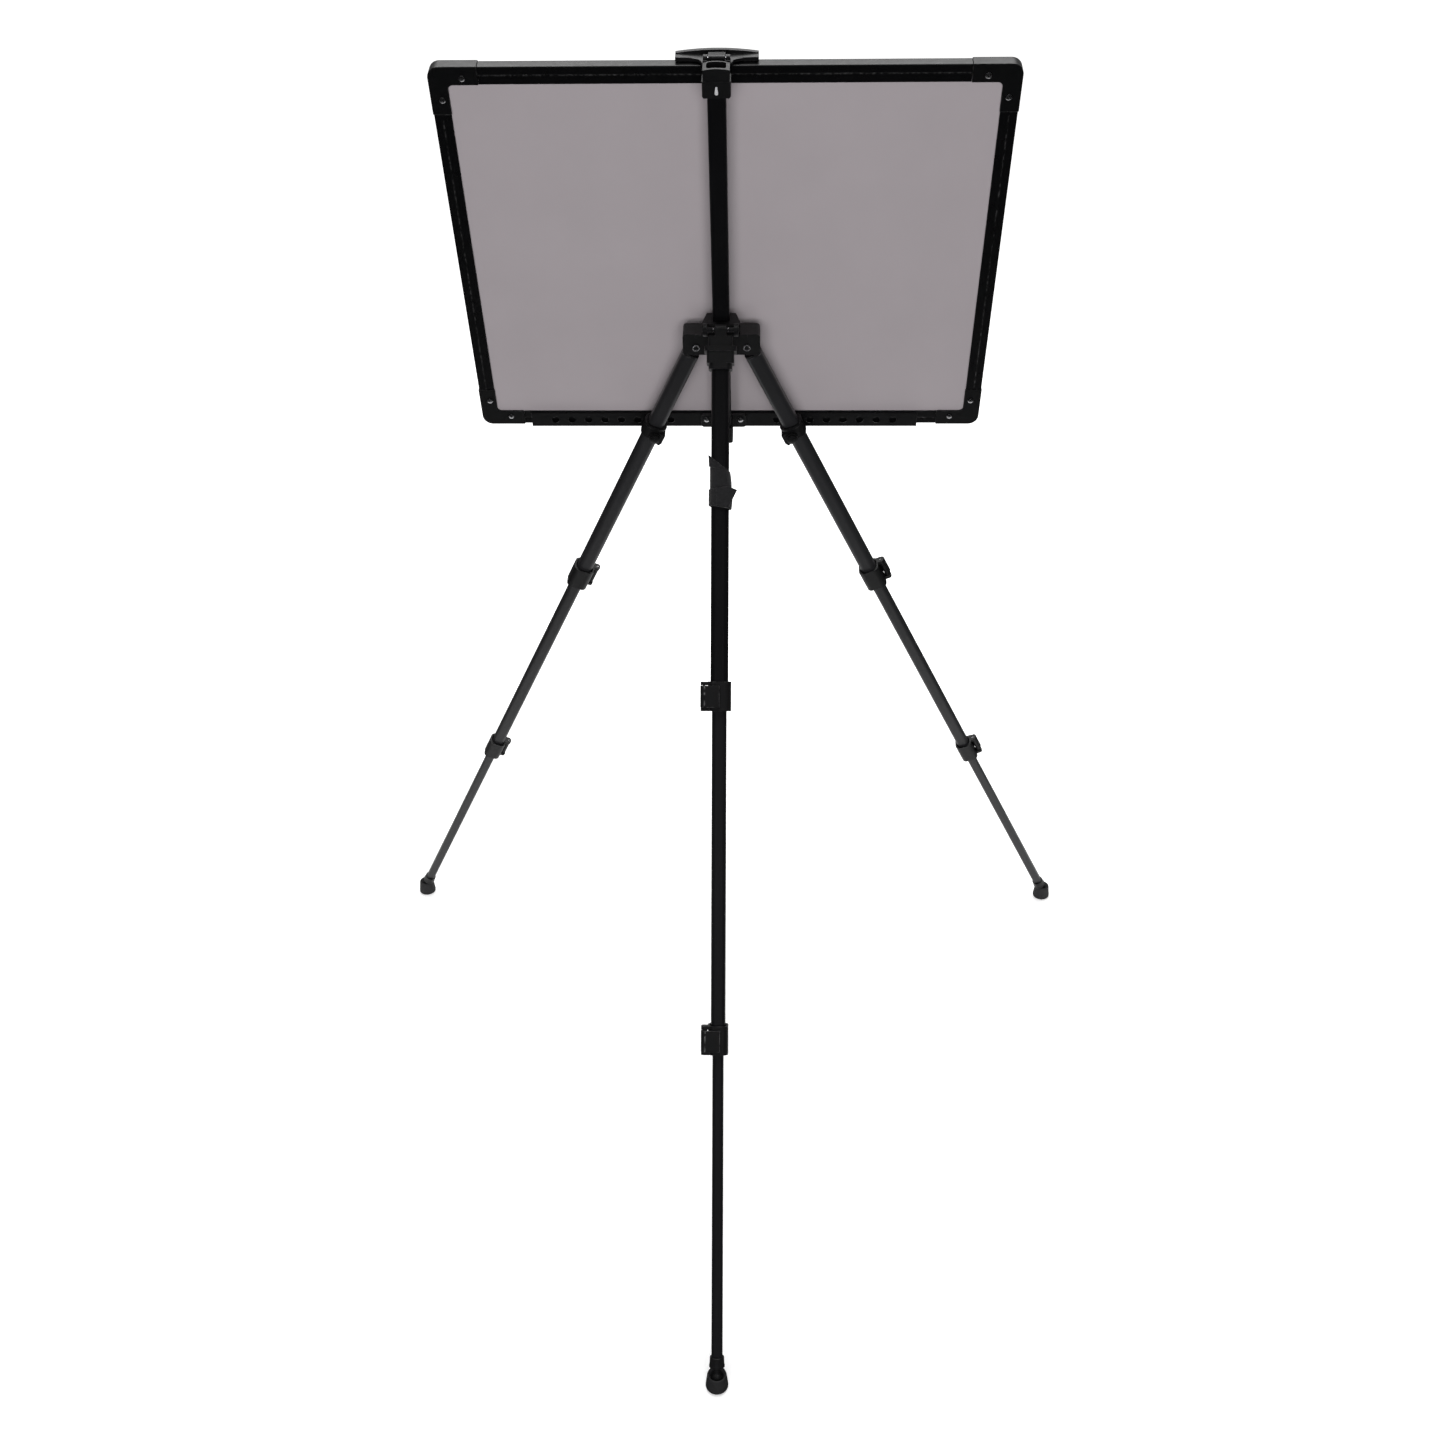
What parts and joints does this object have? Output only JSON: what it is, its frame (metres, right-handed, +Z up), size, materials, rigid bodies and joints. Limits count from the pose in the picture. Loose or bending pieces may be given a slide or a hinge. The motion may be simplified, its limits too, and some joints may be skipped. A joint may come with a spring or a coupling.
{
  "type": "tripod field easel",
  "caption": "Folding tripod easel with telescoping flip-lock legs, a leaning centre mast, a perforated ledge and a hinged top clamp holding a framed writing board.",
  "frame": {"origin": "on the floor, at the middle of the bounding box round the three feet", "axes": "+Z up, -Y the way the writing face looks, +X to the right hand of somebody standing behind the board"},
  "size_m": [1.0476, 0.9682, 1.3609],
  "materials": {
    "black_tube": "satin black paint",
    "black_plastic": "fine moulded texture",
    "black_frame": "satin black paint",
    "black_sheet": "satin black paint",
    "grey_sheet": "semi-gloss grey coating",
    "white_face": "gloss dry-wipe surface",
    "steel": "bright",
    "rubber": "matt",
    "webbing": "woven hook-and-loop tape"
  },
  "bodies": {
    "easel_head": {"hub_block": "black_plastic", "mast": "black_tube", "rear_hinge_pin": "steel", "right_leg_rivet": "steel", "left_leg_rivet": "steel", "mast_foot_bracket": "black_plastic", "ledge": "black_sheet", "right_ledge_screw": "steel", "left_ledge_screw": "steel"},
    "board": {"top_rail": "black_frame", "bottom_rail": "black_frame", "right_rail": "black_frame", "left_rail": "black_frame", "top_right_cap": "black_plastic", "top_left_cap": "black_plastic", "bottom_right_cap": "black_plastic", "bottom_left_cap": "black_plastic", "back_panel": "grey_sheet", "writing_panel": "white_face"},
    "top_clamp": {"clamp_sleeve": "black_plastic", "clamp_hinge_pin": "steel", "clamp_screw": "steel"},
    "clamp_jaw": {"clamp_jaw": "black_plastic"},
    "right_upper_leg": {"right_leg_head": "black_plastic", "right_upper_tube": "black_tube", "right_upper_lock": "black_plastic"},
    "right_middle_leg": {"right_middle_tube": "black_tube", "right_lower_lock": "black_plastic"},
    "right_lower_leg": {"right_lower_tube": "black_tube", "right_foot_plug": "black_plastic"},
    "right_foot": {"right_foot_cup": "rubber"},
    "right_upper_lock_lever": {"right_upper_lever": "black_plastic"},
    "right_lower_lock_lever": {"right_lower_lever": "black_plastic"},
    "right_clip": {"right_leg_clip": "black_plastic", "right_clip_screw": "black_plastic"},
    "left_upper_leg": {"left_leg_head": "black_plastic", "left_upper_tube": "black_tube", "left_upper_lock": "black_plastic"},
    "left_middle_leg": {"left_middle_tube": "black_tube", "left_lower_lock": "black_plastic"},
    "left_lower_leg": {"left_lower_tube": "black_tube", "left_foot_plug": "black_plastic"},
    "left_foot": {"left_foot_cup": "rubber"},
    "left_upper_lock_lever": {"left_upper_lever": "black_plastic"},
    "left_lower_lock_lever": {"left_lower_lever": "black_plastic"},
    "left_clip": {"left_leg_clip": "black_plastic", "left_clip_screw": "black_plastic"},
    "rear_upper_leg": {"rear_leg_head": "black_plastic", "rear_upper_tube": "black_tube", "rear_upper_lock": "black_plastic", "leg_strap": "webbing"},
    "rear_middle_leg": {"rear_middle_tube": "black_tube", "rear_lower_lock": "black_plastic"},
    "rear_lower_leg": {"rear_lower_tube": "black_tube", "rear_foot_plug": "black_plastic"},
    "rear_foot": {"rear_foot_cup": "rubber"},
    "rear_upper_lock_lever": {"rear_upper_lever": "black_plastic"},
    "rear_lower_lock_lever": {"rear_lower_lever": "black_plastic"}
  },
  "joints": [
    {"name": "board_slide", "type": "slide", "parent": "easel_head", "child": "board", "axis": [1, 0, 0], "range_m": [-0.1, 0.1]},
    {"name": "top_clamp_slide", "type": "slide", "parent": "easel_head", "child": "top_clamp", "axis": [0, 0.3173, 0.9483], "range_m": [0, 0.014]},
    {"name": "clamp_jaw_flip", "type": "hinge", "parent": "top_clamp", "child": "clamp_jaw", "pos_m": [0, -0.04543, 1.35312], "axis": [-1, 0, 0], "range_deg": [0, 95]},
    {"name": "right_leg_fold", "type": "hinge", "parent": "easel_head", "child": "right_upper_leg", "pos_m": [0.029, -0.12775, 1.0409], "axis": [0, 0.9483, -0.3173], "range_deg": [0, 24]},
    {"name": "right_middle_slide", "type": "slide", "parent": "right_upper_leg", "child": "right_middle_leg", "axis": [-0.4067, 0.2899, 0.8663], "range_m": [0, 0.31]},
    {"name": "right_lower_slide", "type": "slide", "parent": "right_middle_leg", "child": "right_lower_leg", "axis": [-0.4067, 0.2899, 0.8663], "range_m": [0, 0.34]},
    {"name": "right_foot_tilt", "type": "hinge", "parent": "right_lower_leg", "child": "right_foot", "pos_m": [0.51065, -0.47102, 0.015], "axis": [-0.5804, -0.8144, 0], "range_deg": [-3, 30]},
    {"name": "right_upper_lever_flip", "type": "hinge", "parent": "right_upper_leg", "child": "right_upper_lock_lever", "pos_m": [0.1768, -0.25229, 0.68794], "axis": [0.4067, -0.2899, -0.8663], "range_deg": [0, 100]},
    {"name": "right_lower_lever_flip", "type": "hinge", "parent": "right_middle_leg", "child": "right_lower_lock_lever", "pos_m": [0.33698, -0.36351, 0.35018], "axis": [0.4067, -0.2899, -0.8663], "range_deg": [0, 100]},
    {"name": "right_clip_slide", "type": "slide", "parent": "right_upper_leg", "child": "right_clip", "axis": [0.4067, -0.2899, -0.8663], "range_m": [0, 0.2]},
    {"name": "left_leg_fold", "type": "hinge", "parent": "easel_head", "child": "left_upper_leg", "pos_m": [-0.029, -0.12775, 1.0409], "axis": [0, -0.9483, 0.3173], "range_deg": [0, 24]},
    {"name": "left_middle_slide", "type": "slide", "parent": "left_upper_leg", "child": "left_middle_leg", "axis": [0.4067, 0.2899, 0.8663], "range_m": [0, 0.31]},
    {"name": "left_lower_slide", "type": "slide", "parent": "left_middle_leg", "child": "left_lower_leg", "axis": [0.4067, 0.2899, 0.8663], "range_m": [0, 0.34]},
    {"name": "left_foot_tilt", "type": "hinge", "parent": "left_lower_leg", "child": "left_foot", "pos_m": [-0.51065, -0.47102, 0.015], "axis": [-0.5804, 0.8144, 0], "range_deg": [-3, 30]},
    {"name": "left_upper_lever_flip", "type": "hinge", "parent": "left_upper_leg", "child": "left_upper_lock_lever", "pos_m": [-0.20822, -0.24785, 0.70121], "axis": [-0.4067, -0.2899, -0.8663], "range_deg": [0, 100]},
    {"name": "left_lower_lever_flip", "type": "hinge", "parent": "left_middle_leg", "child": "left_lower_lock_lever", "pos_m": [-0.36529, -0.35951, 0.36214], "axis": [-0.4067, -0.2899, -0.8663], "range_deg": [0, 100]},
    {"name": "left_clip_slide", "type": "slide", "parent": "left_upper_leg", "child": "left_clip", "axis": [-0.4067, -0.2899, -0.8663], "range_m": [0, 0.2]},
    {"name": "rear_leg_fold", "type": "hinge", "parent": "easel_head", "child": "rear_upper_leg", "pos_m": [0, -0.09231, 1.0649], "axis": [-1, 0, 0], "range_deg": [0, 44.2]},
    {"name": "rear_middle_slide", "type": "slide", "parent": "rear_upper_leg", "child": "rear_middle_leg", "axis": [0, -0.4728, 0.8812], "range_m": [0, 0.31]},
    {"name": "rear_lower_slide", "type": "slide", "parent": "rear_middle_leg", "child": "rear_lower_leg", "axis": [0, -0.4728, 0.8812], "range_m": [0, 0.34]},
    {"name": "rear_foot_tilt", "type": "hinge", "parent": "rear_lower_leg", "child": "rear_foot", "pos_m": [0, 0.47102, 0.015], "axis": [1, 0, 0], "range_deg": [-3, 28]},
    {"name": "rear_upper_lever_flip", "type": "hinge", "parent": "rear_upper_leg", "child": "rear_upper_lock_lever", "pos_m": [0.0172, 0.10644, 0.70738], "axis": [0, 0.4728, -0.8812], "range_deg": [0, 100]},
    {"name": "rear_lower_lever_flip", "type": "hinge", "parent": "rear_middle_leg", "child": "rear_lower_lock_lever", "pos_m": [0.0155, 0.28933, 0.36292], "axis": [0, 0.4728, -0.8812], "range_deg": [0, 100]}
  ]
}
